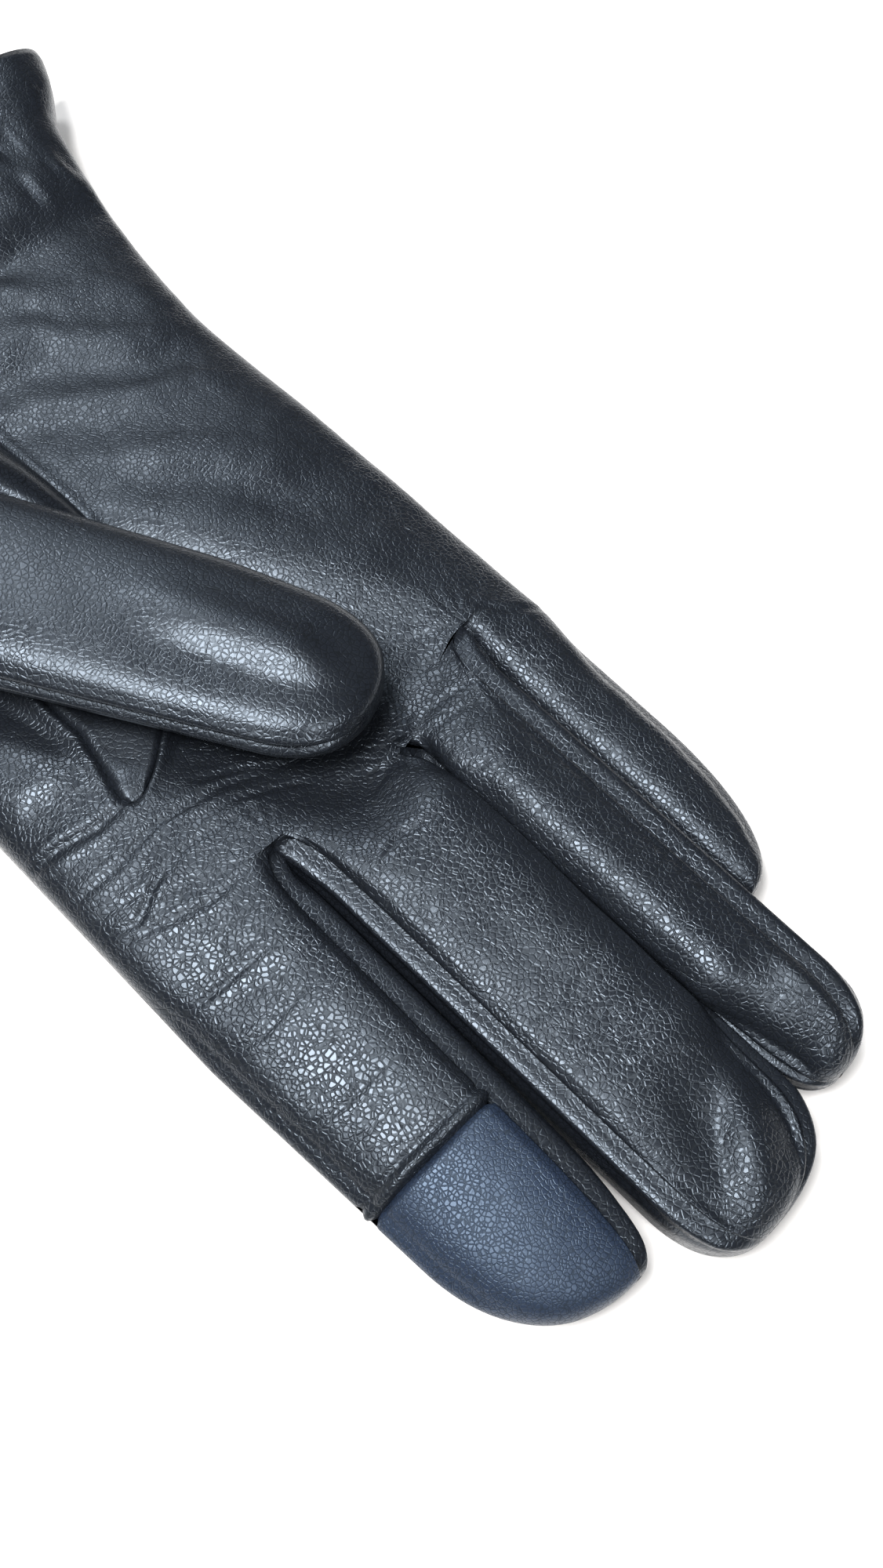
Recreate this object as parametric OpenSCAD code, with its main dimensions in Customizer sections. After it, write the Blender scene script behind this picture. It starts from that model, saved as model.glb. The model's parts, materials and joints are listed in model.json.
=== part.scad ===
// Right-hand leather dress glove, lying palm up with its thumb folded across the palm.
// +Y points to the fingertips, +X to the index finger, +Z up. Millimetres.

/* [Hand] */
// Width across the knuckles, laid flat
hand_w = 90.4; // [88:0.2:94]
// Height of the laid hand between the table and the palm
hand_h = 15.4; // [14.5:0.1:15.4]
// Distance from the origin to the cuff edge
cuff_y = 127; // [120:1:140]
// How far each side flares at the cuff, little-finger side
cuff_flare = 16.5; // [8:0.5:18]
// Height of the cuff mouth
cuff_h = 21; // [18:1:24]

/* [Fingers] */
// Width of each finger tube: index, middle, ring, little
finger_w = [27.6, 26.6, 16, 16.2]; // [14:0.2:30]
// Height of each finger tube
finger_h = [14, 15.4, 16, 13.2]; // [12:0.2:18]
// Length of each finger from its root to its tip
finger_len = [83, 88.5, 84, 62.5]; // [55:0.5:96]
// Knuckle hinge, measured from the finger's root
knuckle = 8; // [7:0.5:10]
// Share of the finger's length at the middle hinge
middle_joint = 0.45; // [0.4:0.01:0.5]
// Length of the touch-screen tip on the index finger
touch_len = 31; // [24:1:34]

/* [Thumb] */
// Width of the thumb tube at its root
thumb_w = 31.5; // [28:0.5:33]
// Height of the thumb tube
thumb_h = 12; // [10:0.5:13]
// Length of the thumb tube
thumb_len = 71; // [64:1:74]
// Direction of the thumb, from the fingers' direction towards the little finger
thumb_turn = 29; // [26:1:32]

/* [Materials] */
// Thickness of the leather
leather_t = 0.9; // [0.7:0.1:1.2]
// Thickness of the knitted lining
lining_t = 0.8; // [0.6:0.1:1.0]

/* [Hidden] */
FINGERS = ["index", "middle", "ring", "little"];
root_x = [31.4, 1.3, -20.4, -36.9];     // centre of each finger at its root
root_y = [35, 38, 35, 29];             // where each finger leaves the palm
taper = [0.16, 0.04, 0.04, 0.06];      // share of its width each finger loses towards the tip
round_len = [22, 14, 14, 30];          // length over which each fingertip rounds off
lean = [-0.6, 0.3, 0.2, 0.8];          // how far each tip turns towards the index side
bend_room = 4.4;                       // leather left out on the palm side of a hinge
root_room = 1;                         // a palm-side panel starts this far before the middle hinge
seam_deg = 0.8;                        // half the gap between two panels at a seam
side_room = 2.4;                       // and on the sides
corner = 40;                           // angle of a finger's four seams in its section
squareness = 0.77;                     // 1 is an ellipse, and less is squarer
cap_power = 2.3;                       // roundness of a fingertip in plan
sole = 0.6;                            // how much of each section is pressed flat
flat_power = 0.66;                     // squareness of the hand's section
wrist_y = -45;                         // narrowest place of the hand
waist = 0.4;                           // how much narrower each side is there
index_flare = 8;                       // how far the index side flares at the cuff
liner = leather_t + 0.1;               // inset of the layer under the leather
inner = liner + lining_t + 0.3;        // inset of the hand lining, under hem and elastic
hem_len = 18;                          // leather turned in at the cuff
elastic_w = 8;                         // width of the elastic strip
elastic_y = wrist_y - 36;              // its edge towards the cuff
thumb_root = [24.5, -29];              // middle of the thumb where it leaves its base
thumb_z = 15.8;                        // underside of the laid thumb
thumb_round = 0.85;                    // squareness of the thumb's section
thumb_seam = 12;                       // angle of the thumb's two seams below its sides
thumb_hinge = 5;                       // where the thumb's own leather starts
thumb_joint = 38;                      // the thumb's middle joint, from its root
thumb_room = 10;                       // leather left out beside the thumb's middle joint
thumb_dir = [-sin(thumb_turn), cos(thumb_turn)];
thumb_side = [cos(thumb_turn), sin(thumb_turn)];
palm_end = [[-47, 30], [-30.5, 30.5], [-27, 36], [-13, 36.9], [-9.5, 39.5], [14, 39.5],
            [18.5, 36.9], [47, 36.9]];                  // front edge of the palm side
back_end = [[-47, 36.2], [-25, 36.2], [-18, 41.5], [-12.5, 42], [-8, 44.8], [12, 44.8],
            [17, 42], [47, 42]];                        // front edge of the back, at the knuckles
hole = [[27, 15], [19, 12.5], [11, 4], [4, -12], [0.5, -30], [0.5, -46], [5, -58],
        [13, -64], [21, -60], [26, -48], [28.5, -30], [28, -8]];      // thumb hole in the palm

FINGER_NODES = [for (f = FINGERS) for (part = ["_front_lower", "_front_upper", "_back_lower",
    "_back_upper", "_lining_lower", "_lining_upper"]) str(f, part)];
WALLS = [["fourchette_index", 0, 180], ["fourchette_middle_a", 1, 0], ["fourchette_middle_b", 1, 180],
         ["fourchette_ring_a", 2, 0], ["fourchette_ring_b", 2, 180], ["fourchette_little", 3, 0]];
WALL_NODES = [for (w = WALLS) for (part = ["_lower", "_upper"]) str(w[0], part)];
HAND_NODES = ["palm_panel", "back_panel", "palm_lining", "back_lining", "cuff_hem", "wrist_elastic",
              "size_label", "thumb_base", "thumb_gusset"];
THUMB_NODES = ["thumb_top_lower", "thumb_top_upper", "thumb_under_lower", "thumb_under_upper",
               "thumb_lining_lower", "thumb_lining_upper"];

leather = [0.09, 0.1, 0.11];
conductive = [0.2, 0.23, 0.3];
knit = [0.22, 0.22, 0.23];
satin = [0.75, 0.74, 0.7];

function mix(a, b, t) = a + (b - a) * t;
function spow(v, e) = sign(v) * pow(abs(v), e);
function unit(v) = min(1, max(0, v));
function bell(v, width) = exp(-pow(v / width, 2));

// Value of a polyline of [x, y] points at x
function along(line, x, i = 0) =
    (i >= len(line) - 2 || x <= line[i + 1][0])
        ? mix(line[i][1], line[i + 1][1], (x - line[i][0]) / (line[i + 1][0] - line[i][0]))
        : along(line, x, i + 1);

// Closed skin between two grids of points, outer[i][j] and inner[i][j]
module skin(outer, inner_side) {
    n = len(outer);
    m = len(outer[0]);
    points = concat([for (row = outer) each row], [for (row = inner_side) each row]);
    o = function(i, j) i * m + j;
    q = function(i, j) n * m + i * m + j;
    faces = concat(
        [for (i = [0 : n - 2]) for (j = [0 : m - 2]) each
            [[o(i, j), o(i, j + 1), o(i + 1, j + 1)], [o(i, j), o(i + 1, j + 1), o(i + 1, j)],
             [q(i, j), q(i + 1, j + 1), q(i, j + 1)], [q(i, j), q(i + 1, j), q(i + 1, j + 1)]]],
        [for (j = [0 : m - 2]) each
            [[o(0, j), q(0, j), q(0, j + 1)], [o(0, j), q(0, j + 1), o(0, j + 1)],
             [o(n - 1, j), q(n - 1, j + 1), q(n - 1, j)], [o(n - 1, j), o(n - 1, j + 1), q(n - 1, j + 1)]]],
        [for (i = [0 : n - 2]) each
            [[o(i, 0), q(i + 1, 0), q(i, 0)], [o(i, 0), o(i + 1, 0), q(i + 1, 0)],
             [o(i, m - 1), q(i, m - 1), q(i + 1, m - 1)], [o(i, m - 1), q(i + 1, m - 1), o(i + 1, m - 1)]]]);
    polyhedron(points = points, faces = faces);
}

// Closed tube wall between two stacks of closed rings
module ring_skin(outer, inner_side) {
    n = len(outer);
    m = len(outer[0]);
    points = concat([for (row = outer) each row], [for (row = inner_side) each row]);
    o = function(i, j) i * m + j % m;
    q = function(i, j) n * m + i * m + j % m;
    faces = concat(
        [for (i = [0 : n - 2]) for (j = [0 : m - 1]) each
            [[o(i, j), o(i, j + 1), o(i + 1, j + 1)], [o(i, j), o(i + 1, j + 1), o(i + 1, j)],
             [q(i, j), q(i + 1, j + 1), q(i, j + 1)], [q(i, j), q(i + 1, j), q(i + 1, j + 1)]]],
        [for (j = [0 : m - 1]) each
            [[o(0, j), q(0, j), q(0, j + 1)], [o(0, j), q(0, j + 1), o(0, j + 1)],
             [o(n - 1, j), q(n - 1, j + 1), q(n - 1, j)], [o(n - 1, j), o(n - 1, j + 1), q(n - 1, j + 1)]]]);
    polyhedron(points = points, faces = faces);
}

// Share of the full width at distance s along a tube that is len long, rounded over the last r
function cap(s, len, r) = pow(1 - pow(unit((s - len + r) / r), cap_power), 1 / cap_power);

// Point on finger f at distance s from its root and angle a round its section
function finger_point(f, s, a, inset = 0) =
    let (w = finger_w[f], h = finger_h[f], len = finger_len[f],
         c = cap(s, len - inset, round_len[f]) * (1 - taper[f] * unit((s - 20) / (len - 20))),
         half = max(0.3, w / 2 * c - inset),
         high = max(0.6, h * (0.25 + 0.75 * c) - 2 * inset),
         low = (h - h * (0.25 + 0.75 * c)) * 0.4 + inset,
         x = root_x[f] + lean[f] * w / 2 * (1 - c))
    [x + half * spow(cos(a), squareness), root_y[f] + s,
     max(inset, low + high / 2 * (1 + spow(sin(a), squareness)) - sole)];

// Part of a finger's wall: from s0 to s1 along it, a0 to a1 round it, t0 to t1 deep
module finger_strip(f, s0, s1, a0, a1, t0 = 0, t1 = leather_t, tipped = false) {
    rows = tipped ? 9 : 4;
    cols = max(4, round((a1 - a0) / 14));
    pace = function(i) tipped ? sin(90 * i / rows) : i / rows;
    grid = function(t) [for (i = [0 : rows]) [for (j = [0 : cols])
        finger_point(f, mix(s0, s1, pace(i)), mix(a1, a0, j / cols), t)]];
    skin(grid(t0), grid(t1));
}

function joint_s(f) = round(finger_len[f] * middle_joint);
function end_s(f) = finger_len[f] - 0.8;

// Angles of the front panel; the outer fingers' panels wrap to the middle of the fold
function front_from(f) = f == 0 ? 0 : corner;
function front_to(f) = f == 3 ? 180 : 180 - corner;

module front_lower(f) color(leather)
    finger_strip(f, knuckle + 0.2, joint_s(f) - root_room - bend_room,
        front_from(f) + seam_deg, front_to(f) - seam_deg);

module front_upper(f) color(leather) {
    last = f == 0 ? finger_len[0] - touch_len - 0.3 : end_s(f);
    finger_strip(f, joint_s(f) - root_room, last, front_from(f) + seam_deg, front_to(f) - seam_deg,
        tipped = f != 0);
}

module back_lower(f) color(leather)
    finger_strip(f, knuckle + 0.2, joint_s(f) - root_room - 1,
        360 - front_to(f) + seam_deg, 360 - front_from(f) - seam_deg);

module back_upper(f) color(leather)
    finger_strip(f, joint_s(f), end_s(f),
        360 - front_to(f) + seam_deg, 360 - front_from(f) - seam_deg, tipped = true);

module fourchette_lower(f, side) color(leather)
    finger_strip(f, knuckle + 0.2, joint_s(f) - root_room - side_room,
        side - corner + seam_deg, side + corner - seam_deg);

module fourchette_upper(f, side) color(leather)
    finger_strip(f, joint_s(f) - root_room, end_s(f),
        side - corner + seam_deg, side + corner - seam_deg, tipped = true);

module touch_tip() color(conductive)
    finger_strip(0, finger_len[0] - touch_len, end_s(0), seam_deg, 180 - corner - seam_deg, tipped = true);

// Knitted tube inside one segment of a finger
module finger_lining(f, s0, s1) color(knit) {
    rows = 5;
    cols = 20;
    grid = function(t) [for (i = [0 : rows]) [for (j = [0 : cols - 1])
        finger_point(f, mix(s0, s1, i / rows), -360 * j / cols, t)]];
    ring_skin(grid(liner), grid(liner + lining_t));
}

function side_flare(y) = pow(unit((wrist_y - y) / (wrist_y + cuff_y)), 1.6);
function half_w(y, side) = hand_w / 2 - waist * bell(y - wrist_y, 30)
    + (side < 0 ? cuff_flare : index_flare) * side_flare(y);
function height(y) = hand_h - 2.4 * bell(y - wrist_y + 25, 28) + (cuff_h - hand_h) * side_flare(y);

// Point on the hand's outer surface at y and angle a round its section
function hand_point(y, a, inset = 0) =
    [(half_w(y, cos(a)) - inset) * spow(cos(a), flat_power), y,
     max(inset, inset + (height(y) - 2 * inset) / 2 * (1 + spow(sin(a), flat_power)) - sole)];

// Hand surface between angles a0 and a1, from y0 to a front edge given as a polyline
module hand_sheet(a0, a1, t0, t1, edge, y0 = -cuff_y, rows = 16, cols = 18) {
    grid = function(t) [for (i = [0 : rows]) [for (j = [0 : cols])
        let (a = mix(a1, a0, j / cols), x = half_w(20, cos(a)) * spow(cos(a), flat_power))
        hand_point(mix(y0, along(edge, x), i / rows), a, t)]];
    skin(grid(t0), grid(t1));
}

module hole_cut(grow) translate([0, 0, 5]) linear_extrude(20) offset(grow) polygon(hole);

module palm_panel() color(leather) difference() {
    hand_sheet(seam_deg, 180 - seam_deg, 0, leather_t, palm_end);
    hole_cut(0.3);
}

module back_panel() color(leather) hand_sheet(180 + seam_deg, 360 - seam_deg, 0, leather_t, back_end);

module palm_lining() color(knit) difference() {
    hand_sheet(seam_deg, 180 - seam_deg, inner, inner + lining_t, palm_end, -cuff_y + 2);
    hole_cut(-1);
}

module back_lining() color(knit)
    hand_sheet(180 + seam_deg, 360 - seam_deg, inner, inner + lining_t, back_end, -cuff_y + 2);

// Leather turned in at the cuff edge
module cuff_hem() color(leather) {
    rows = 5;
    cols = 36;
    grid = function(t) [for (i = [0 : rows]) [for (j = [0 : cols - 1])
        hand_point(mix(-cuff_y, -cuff_y + hem_len, i / rows), -360 * j / cols, t)]];
    ring_skin(grid(liner), grid(liner + 0.9));
}

// Elastic strip stitched under the palm side of the wrist
module wrist_elastic() color(satin)
    hand_sheet(55, 125, liner, liner + 0.8, [[-60, elastic_y + elastic_w], [60, elastic_y + elastic_w]],
        elastic_y, 3, 12);

// Blank woven label on the back lining, inside the mouth
module size_label() color(satin)
    translate([-9, -cuff_y + 8, inner + lining_t + 0.1]) cube([18, 11, 0.5]);

function thumb_point(s, a, inset = 0) =
    let (c = cap(s, thumb_len - inset, 15),
         w = mix(thumb_w, thumb_w - 3.5, unit(s / 62)),
         half = max(0.3, w / 2 * c - inset),
         high = max(0.6, mix(thumb_h, thumb_h - 1.5, unit(s / thumb_len)) * (0.3 + 0.7 * c) - 2 * inset),
         low = thumb_z + inset + (1 - c) * thumb_h * 0.25,
         across = half * spow(cos(a), thumb_round))
    [thumb_root[0] + thumb_dir[0] * s + thumb_side[0] * across,
     thumb_root[1] + thumb_dir[1] * s + thumb_side[1] * across,
     low + high / 2 * (1 + spow(sin(a), thumb_round))];

module thumb_strip(s0, s1, a0, a1, tipped = false) {
    rows = tipped ? 9 : 4;
    cols = 12;
    pace = function(i) tipped ? sin(90 * i / rows) : i / rows;
    grid = function(t) [for (i = [0 : rows]) [for (j = [0 : cols])
        thumb_point(mix(s0, s1, pace(i)), mix(a1, a0, j / cols), t)]];
    skin(grid(0), grid(leather_t));
}

module thumb_top_lower() color(leather)
    thumb_strip(thumb_hinge - 1, thumb_joint - thumb_room, -thumb_seam, 180 + thumb_seam);

module thumb_top_upper() color(leather)
    thumb_strip(thumb_joint - 1, thumb_len - 0.8, -thumb_seam, 180 + thumb_seam, true);

module thumb_under_lower() color(leather)
    thumb_strip(thumb_hinge, thumb_joint - thumb_room, 180 + thumb_seam + 2 * seam_deg,
        360 - thumb_seam - 2 * seam_deg);

module thumb_under_upper() color(leather)
    thumb_strip(thumb_joint, thumb_len - 0.8, 180 + thumb_seam + 2 * seam_deg,
        360 - thumb_seam - 2 * seam_deg, true);

module thumb_lining(s0, s1) color(knit) {
    rows = 5;
    cols = 20;
    grid = function(t) [for (i = [0 : rows]) [for (j = [0 : cols - 1])
        thumb_point(mix(s0, s1, i / rows), -360 * j / cols, t)]];
    ring_skin(grid(liner), grid(liner + lining_t));
}

// Leather that rises from the rear of the thumb hole and turns over into the thumb
module thumb_base() color(leather) {
    rows = 6;
    cols = 14;
    rim = function(j, t) let (a = mix(12, 176, j / cols))
        [15 + (15.5 - t) * cos(a), -28 - (37 - t) * sin(a)];
    root = function(j, t) thumb_point(-2.5, mix(-8, 188, j / cols), t);
    grid = function(t) [for (i = [0 : rows]) [for (j = [0 : cols])
        let (u = i / rows, r = rim(j, t), p = root(j, t), rise = sin(90 * u), run = 1 - cos(90 * u))
        [mix(r[0], p[0], run), mix(r[1], p[1], run), mix(hand_h - 0.3, p[2], rise)]]];
    skin(grid(0), grid(leather_t));
}

// Tongue of the thumb piece, sewn into the front of the thumb hole
module thumb_gusset() color(leather) intersection() {
    translate([0, 0, hand_h - sole - leather_t - 0.4]) linear_extrude(leather_t) offset(-0.4) polygon(hole);
    translate([-20, -26, 0]) cube([60, 60, 30]);
}

palm_panel();
back_panel();
palm_lining();
back_lining();
cuff_hem();
wrist_elastic();
size_label();
thumb_base();
thumb_gusset();
touch_tip();
thumb_top_lower();
thumb_top_upper();
thumb_under_lower();
thumb_under_upper();
thumb_lining(thumb_hinge, thumb_joint - thumb_room);  // thumb_lining_lower
thumb_lining(thumb_joint, thumb_len - 4);  // thumb_lining_upper
for (f = [0 : 3]) {
    name = FINGERS[f];
    front_lower(f);
    front_upper(f);
    back_lower(f);
    back_upper(f);
    finger_lining(f, knuckle + 0.5, joint_s(f) - root_room - bend_room);
    finger_lining(f, joint_s(f), finger_len[f] - 5);
}
for (w = WALLS) {
    fourchette_lower(w[1], w[2]);
    fourchette_upper(w[1], w[2]);
}
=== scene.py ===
import json
import math
import bpy
import numpy as np
from mathutils import Matrix, Vector


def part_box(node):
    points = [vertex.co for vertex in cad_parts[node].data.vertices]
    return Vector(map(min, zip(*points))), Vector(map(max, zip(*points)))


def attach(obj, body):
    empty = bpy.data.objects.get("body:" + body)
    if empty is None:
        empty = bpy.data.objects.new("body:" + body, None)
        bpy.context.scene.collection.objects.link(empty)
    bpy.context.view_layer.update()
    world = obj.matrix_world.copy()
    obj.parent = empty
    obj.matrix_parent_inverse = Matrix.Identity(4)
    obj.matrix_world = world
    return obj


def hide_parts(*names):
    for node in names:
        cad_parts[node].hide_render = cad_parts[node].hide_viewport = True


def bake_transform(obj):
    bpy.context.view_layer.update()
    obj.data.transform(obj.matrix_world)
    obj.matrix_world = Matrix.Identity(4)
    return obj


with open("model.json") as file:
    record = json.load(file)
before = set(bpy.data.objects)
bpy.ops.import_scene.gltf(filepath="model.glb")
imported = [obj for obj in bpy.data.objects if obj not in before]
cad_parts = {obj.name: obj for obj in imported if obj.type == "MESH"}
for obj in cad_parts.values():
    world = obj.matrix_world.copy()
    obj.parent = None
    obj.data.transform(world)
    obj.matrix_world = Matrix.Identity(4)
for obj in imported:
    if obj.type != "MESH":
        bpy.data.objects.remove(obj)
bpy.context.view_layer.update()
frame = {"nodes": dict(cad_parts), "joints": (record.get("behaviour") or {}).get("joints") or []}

jointAt = {j["name"]: np.array(j["pos_m"]) * 1000 for j in frame["joints"]}
print("frame loaded:", len(frame["nodes"]), "nodes")


# All shapes are worked out in millimetres and put into the meshes in metres.

def boxOf(node):  # lowest and highest corner of a CAD node, in mm
    low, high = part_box(node)
    return np.array(low) * 1000, np.array(high) * 1000


def mix(a, b, t):  # straight mix of a and b
    return a + (b - a) * t


def ease(t):  # 0 to 1 with a level start and end
    t = np.clip(t, 0, 1)
    return t * t * (3 - 2 * t)


def bell(v, width):  # smooth hump, 1 at v = 0 and near 0 past twice the width
    return np.exp(-(v / width) ** 2)


def roundOff(t):  # quarter circle from 0 up to 1, upright at the start
    return np.sqrt(1 - (1 - np.clip(t, 0, 1)) ** 2)


def ovalPoint(phi, power):  # point at polar angle phi on |x|^power + |z|^power = 1
    c, s = np.cos(phi), np.sin(phi)
    n = (np.abs(c) ** power + np.abs(s) ** power) ** (1 / power)
    return c / n, s / n


def evenAngles(a0, a1, wide, high, power, count):  # angles spaced evenly by length along an oval
    phi = np.linspace(a0, a1, 2000)
    x, z = ovalPoint(phi, power)
    run = np.concatenate([[0], np.cumsum(np.hypot(np.diff(x * wide), np.diff(z * high)))])
    return np.interp(np.linspace(0, run[-1], count), run, phi), run[-1]


def softNoise(x, y, size, seed):  # smooth random hills of about the given size, from -1 to 1
    table = np.random.default_rng(seed).uniform(-1, 1, (64, 64))
    fx = x / size + 640
    fy = y / size + 640
    ix = np.floor(fx).astype(int)
    iy = np.floor(fy).astype(int)
    tx = ease(fx - ix)
    ty = ease(fy - iy)
    top = mix(table[iy % 64, ix % 64], table[iy % 64, (ix + 1) % 64], tx)
    low = mix(table[(iy + 1) % 64, ix % 64], table[(iy + 1) % 64, (ix + 1) % 64], tx)
    return mix(top, low, ty)


def alongLine(x, y, points):  # signed distance to a polyline, and how far along it from 0 to 1
    points = np.array(points, float)
    steps = np.diff(points, axis=0)
    lengths = np.hypot(steps[:, 0], steps[:, 1])
    best = np.full(np.shape(x), 1e9)
    share = np.zeros(np.shape(x))
    side = np.zeros(np.shape(x))
    for (px, py), (dx, dy), size, before in zip(points, steps, lengths, np.cumsum(lengths) - lengths):
        t = np.clip(((x - px) * dx + (y - py) * dy) / size ** 2, 0, 1)
        gap = np.hypot(x - px - t * dx, y - py - t * dy)
        nearer = gap < best
        best = np.where(nearer, gap, best)
        share = np.where(nearer, (before + t * size) / lengths.sum(), share)
        side = np.where(nearer, np.sign((x - px) * dy - (y - py) * dx), side)
    return best * side, np.clip(share, 0, 1)


def normalsOf(points):  # unit normals of a grid of points, turned to the side that z faces on top
    n = np.cross(np.gradient(points, axis=1), np.gradient(points, axis=0))
    n = n / np.maximum(np.linalg.norm(n, axis=2, keepdims=True), 1e-9)
    return n if n[..., 2].mean() > 0 else -n


def makeSheet(name, points, material, flip=False, closed=False, grain=1.0):
    # A grid of points, rows by columns, becomes a mesh of four-sided faces. flip turns the faces over,
    # closed joins the last column to the first, and grain is the pebbling's strength at each point
    rows, cols = points.shape[:2]
    co = (points.reshape(-1, 3) / 1000).astype(np.float32)
    r, c = np.meshgrid(np.arange(rows - 1), np.arange(cols if closed else cols - 1), indexing="ij")
    after = (c + 1) % cols
    quads = np.stack([r * cols + c, r * cols + after, (r + 1) * cols + after, (r + 1) * cols + c], -1)
    if not flip:
        quads = quads[..., ::-1]
    quads = quads.reshape(-1, 4)
    mesh = bpy.data.meshes.new(name)
    mesh.vertices.add(len(co))
    mesh.vertices.foreach_set("co", co.ravel())
    mesh.loops.add(quads.size)
    mesh.loops.foreach_set("vertex_index", quads.ravel().astype(np.int32))
    mesh.polygons.add(len(quads))
    mesh.polygons.foreach_set("loop_start", np.arange(0, quads.size, 4, dtype=np.int32))
    mesh.polygons.foreach_set("use_smooth", np.ones(len(quads), bool))
    place = mesh.attributes.new("grainPlace", "FLOAT_VECTOR", "POINT")
    place.data.foreach_set("vector", co.ravel())
    depth = mesh.attributes.new("grainDepth", "FLOAT", "POINT")
    strength = np.broadcast_to(grain, (rows, cols)).astype(np.float32)
    depth.data.foreach_set("value", strength.ravel())
    mesh.update(calc_edges=True)
    mesh.validate()
    piece = bpy.data.objects.new(name, mesh)
    bpy.context.scene.collection.objects.link(piece)
    mesh.materials.append(material)
    return piece


leatherKnobs = {
    "colour": (0.0058, 0.0070, 0.0095),
    "wornColour": (0.0085, 0.0102, 0.0138),
    "tint": (0.74, 0.86, 1.0, 1.0),
    "ior": 1.5,
    "roughness": 0.29,
    "glossSwing": 0.05,       # how much the roughness varies from patch to patch
    "valleyPaintedShade": 0.35,      # painted shade: colour between the pebbles against the colour on them
    "valleyDull": 0.24,       # extra roughness between the pebbles
    "cellSize": 0.00086,      # metres across one pebble of the grain
    "wander": 0.7,            # how far the pebbles' outlines stray, in pebbles
    "fineSize": 0.00056,
    "cellDepth": 0.00005,
    "fineDepth": 0.000003,
    "crackSize": 0.0046,      # metres between the stretch lines
    "crackDepth": 0.00003,
    "patchesPerMetre": 70.0,  # worn patches
    "poresPerMetre": 1600.0,
}


def addNode(tree, kind, **values):  # a shader node with its inputs set by name or number
    node = tree.nodes.new(kind)
    for key, value in values.items():
        if hasattr(node, key):
            setattr(node, key, value)
        else:
            node.inputs[key.replace("_", " ")].default_value = value
    return node


def ramp(tree, source, fromMin, fromMax, toMin=0.0, toMax=1.0, smooth=True):
    # A value carried from one range to another
    kind = "SMOOTHSTEP" if smooth else "LINEAR"
    node = addNode(tree, "ShaderNodeMapRange", interpolation_type=kind, From_Min=fromMin, From_Max=fromMax,
                   To_Min=toMin, To_Max=toMax)
    tree.links.new(source, node.inputs["Value"])
    return node.outputs["Result"]


def addBump(tree, height, distance, strength, normal):  # one more layer of relief on the surface
    bump = addNode(tree, "ShaderNodeBump", Distance=distance)
    tree.links.new(height, bump.inputs["Height"])
    if isinstance(strength, float):
        bump.inputs["Strength"].default_value = strength
    else:
        tree.links.new(strength, bump.inputs["Strength"])
    if normal:
        tree.links.new(normal, bump.inputs["Normal"])
    return bump.outputs["Normal"]


def edgeCells(tree, vector, size):  # distance to the nearest edge in a pattern of cells of this size
    cells = addNode(tree, "ShaderNodeTexVoronoi", feature="DISTANCE_TO_EDGE", Scale=1 / size)
    tree.links.new(vector, cells.inputs["Vector"])
    return cells.outputs["Distance"]


def mathNode(tree, operation, *values):  # one sum or product of sockets and numbers
    node = addNode(tree, "ShaderNodeMath", operation=operation)
    for socket, value in zip(node.inputs, values):
        if isinstance(value, float):
            socket.default_value = value
        else:
            tree.links.new(value, socket)
    return node.outputs[0]


def mixColours(tree, share, low, high):  # from colour low at 0 to colour high at 1
    node = addNode(tree, "ShaderNodeMix", data_type="RGBA")
    for socket, value in ((node.inputs[0], share), (node.inputs[6], low), (node.inputs[7], high)):
        if isinstance(value, tuple):
            socket.default_value = (*value, 1)
        else:
            tree.links.new(value, socket)
    return node.outputs[2]


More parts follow.
